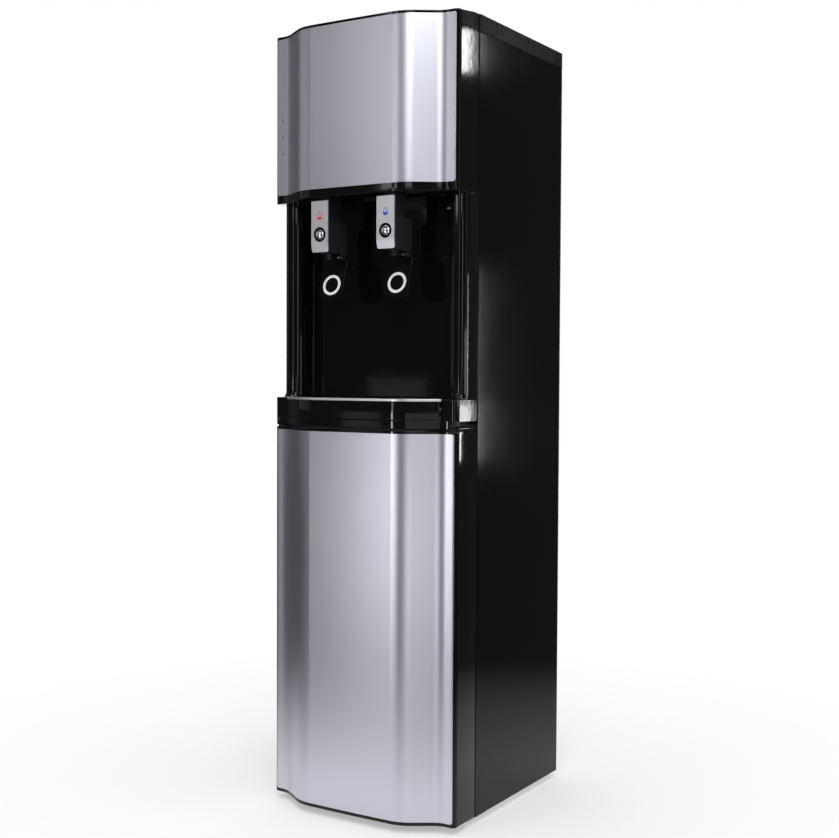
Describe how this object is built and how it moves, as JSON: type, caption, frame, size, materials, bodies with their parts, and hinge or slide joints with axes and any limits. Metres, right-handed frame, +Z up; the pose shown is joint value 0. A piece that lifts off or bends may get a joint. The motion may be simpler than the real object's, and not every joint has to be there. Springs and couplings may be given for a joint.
{
  "type": "bottom load water cooler",
  "caption": "Free-standing bottom load water cooler with a bowed steel-clad front, hot and cold push taps over a pull-out drip tray, and a hinged bottle door.",
  "frame": {"origin": "on the floor under the middle of the machine's bounding box", "axes": "+Z up, +X to the right of a person facing the front, front faces -Y"},
  "size_m": [0.313, 0.3666, 1.125],
  "materials": {
    "black_gloss_plastic": "gloss",
    "black_satin_plastic": "satin",
    "black_painted_steel": "satin",
    "stainless_steel": "vertical brush",
    "galvanised_steel": "dull spangle",
    "tank_steel": "plain",
    "spring_steel": "plain",
    "chrome": "polished",
    "silver_plastic": "metallic lacquer",
    "dark_grey_plastic": "fine texture",
    "red_ink": "print",
    "blue_ink": "print",
    "white_ink": "print",
    "lamp_lens": "smoked",
    "grey_liner": "fine texture",
    "white_foam": "beaded",
    "black_rubber": "matte",
    "copper": "drawn tube",
    "condenser_paint": "dull",
    "white_hose": "milky",
    "board_green": "resist",
    "compressor_paint": "gloss",
    "white_plastic": "gloss",
    "ferrite": "dull"
  },
  "bodies": {
    "cabinet": {"base_plate": "galvanised_steel", "rubber_feet": "black_rubber", "right_side_panel": "black_painted_steel", "left_side_panel": "black_painted_steel", "rear_panel": "galvanised_steel", "top_cover": "black_satin_plastic", "upper_front_moulding": "black_gloss_plastic", "upper_front_steel": "stainless_steel", "indicator_lenses": "lamp_lens", "alcove_housing": "black_gloss_plastic", "tray_console": "black_gloss_plastic", "hinge_brackets": "galvanised_steel", "catch_magnet": "ferrite", "bottle_tray": "black_satin_plastic", "probe_holder": "white_plastic", "probe_hose": "white_hose", "hot_tap_body": "dark_grey_plastic", "cold_tap_body": "dark_grey_plastic", "hot_tap_plate": "silver_plastic", "cold_tap_plate": "silver_plastic", "hot_droplet_icon": "red_ink", "cold_droplet_icon": "blue_ink", "tap_spouts": "black_satin_plastic", "paddle_pins": "spring_steel", "paddle_springs": "spring_steel", "machine_shelf": "galvanised_steel", "tank_shelf": "galvanised_steel", "compressor": "compressor_paint", "compressor_grommets": "black_rubber", "cold_tank": "tank_steel", "cold_tank_insulation": "white_foam", "evaporator_coil": "copper", "hot_tank": "tank_steel", "hot_tank_insulation": "white_foam", "water_pump": "black_satin_plastic", "control_board": "board_green", "water_hoses": "white_hose", "refrigerant_lines": "copper", "condenser": "condenser_paint", "switch_housing": "black_satin_plastic", "drain_outlet": "white_plastic", "cord_gland": "black_rubber", "case_screws": "galvanised_steel"},
    "door": {"door_shell": "black_gloss_plastic", "door_steel": "stainless_steel", "door_liner": "grey_liner", "catch_strike": "galvanised_steel"},
    "drip_tray": {"drip_tray": "black_gloss_plastic", "drip_tray_trim": "silver_plastic"},
    "grille": {"drip_tray_grille": "black_satin_plastic"},
    "hot_button": {"hot_button": "chrome"},
    "cold_button": {"cold_button": "chrome"},
    "hot_paddle": {"hot_paddle": "black_gloss_plastic", "hot_paddle_ring": "white_ink"},
    "cold_paddle": {"cold_paddle": "black_gloss_plastic", "cold_paddle_ring": "white_ink"},
    "hot_rocker": {"hot_switch_rocker": "red_ink"},
    "cold_rocker": {"cold_switch_rocker": "blue_ink"},
    "drain_cap": {"drain_cap": "white_plastic"},
    "probe": {"probe": "tank_steel"}
  },
  "joints": [
    {"name": "door_hinge", "type": "hinge", "parent": "cabinet", "child": "door", "pos_m": [0.1464, -0.1038, 0.2815], "axis": [0, 0, 1], "range_deg": [0, 90]},
    {"name": "drip_tray_slide", "type": "slide", "parent": "cabinet", "child": "drip_tray", "axis": [0, -1, 0], "range_m": [0, 0.095]},
    {"name": "grille_lift", "type": "slide", "parent": "drip_tray", "child": "grille", "axis": [0, 0, 1], "range_m": [0, 0.05]},
    {"name": "hot_button_press", "type": "slide", "parent": "cabinet", "child": "hot_button", "axis": [0, 1, 0], "range_m": [0, 0.0025], "stiffness_N_per_m": 600, "springref_m": -0.002},
    {"name": "cold_button_press", "type": "slide", "parent": "cabinet", "child": "cold_button", "axis": [0, 1, 0], "range_m": [0, 0.0025], "stiffness_N_per_m": 600, "springref_m": -0.002},
    {"name": "hot_paddle_press", "type": "hinge", "parent": "cabinet", "child": "hot_paddle", "pos_m": [-0.0555, -0.136, 0.798], "axis": [1, 0, 0], "range_deg": [0, 12], "stiffness_Nm_per_rad": 0.5, "springref_deg": -8.59},
    {"name": "cold_paddle_press", "type": "hinge", "parent": "cabinet", "child": "cold_paddle", "pos_m": [0.0555, -0.136, 0.798], "axis": [1, 0, 0], "range_deg": [0, 12], "stiffness_Nm_per_rad": 0.5, "springref_deg": -8.59},
    {"name": "hot_rocker_tilt", "type": "hinge", "parent": "cabinet", "child": "hot_rocker", "pos_m": [-0.106, 0.1627, 1.0525], "axis": [1, 0, 0], "range_deg": [-14, 0]},
    {"name": "cold_rocker_tilt", "type": "hinge", "parent": "cabinet", "child": "cold_rocker", "pos_m": [-0.086, 0.1627, 1.0525], "axis": [1, 0, 0], "range_deg": [-14, 0]},
    {"name": "drain_cap_pull", "type": "slide", "parent": "cabinet", "child": "drain_cap", "axis": [0, 1, 0], "range_m": [0, 0.02]},
    {"name": "probe_release", "type": "slide", "parent": "cabinet", "child": "probe", "axis": [0.7071, -0.7071, 0], "range_m": [0, 0.07]}
  ]
}
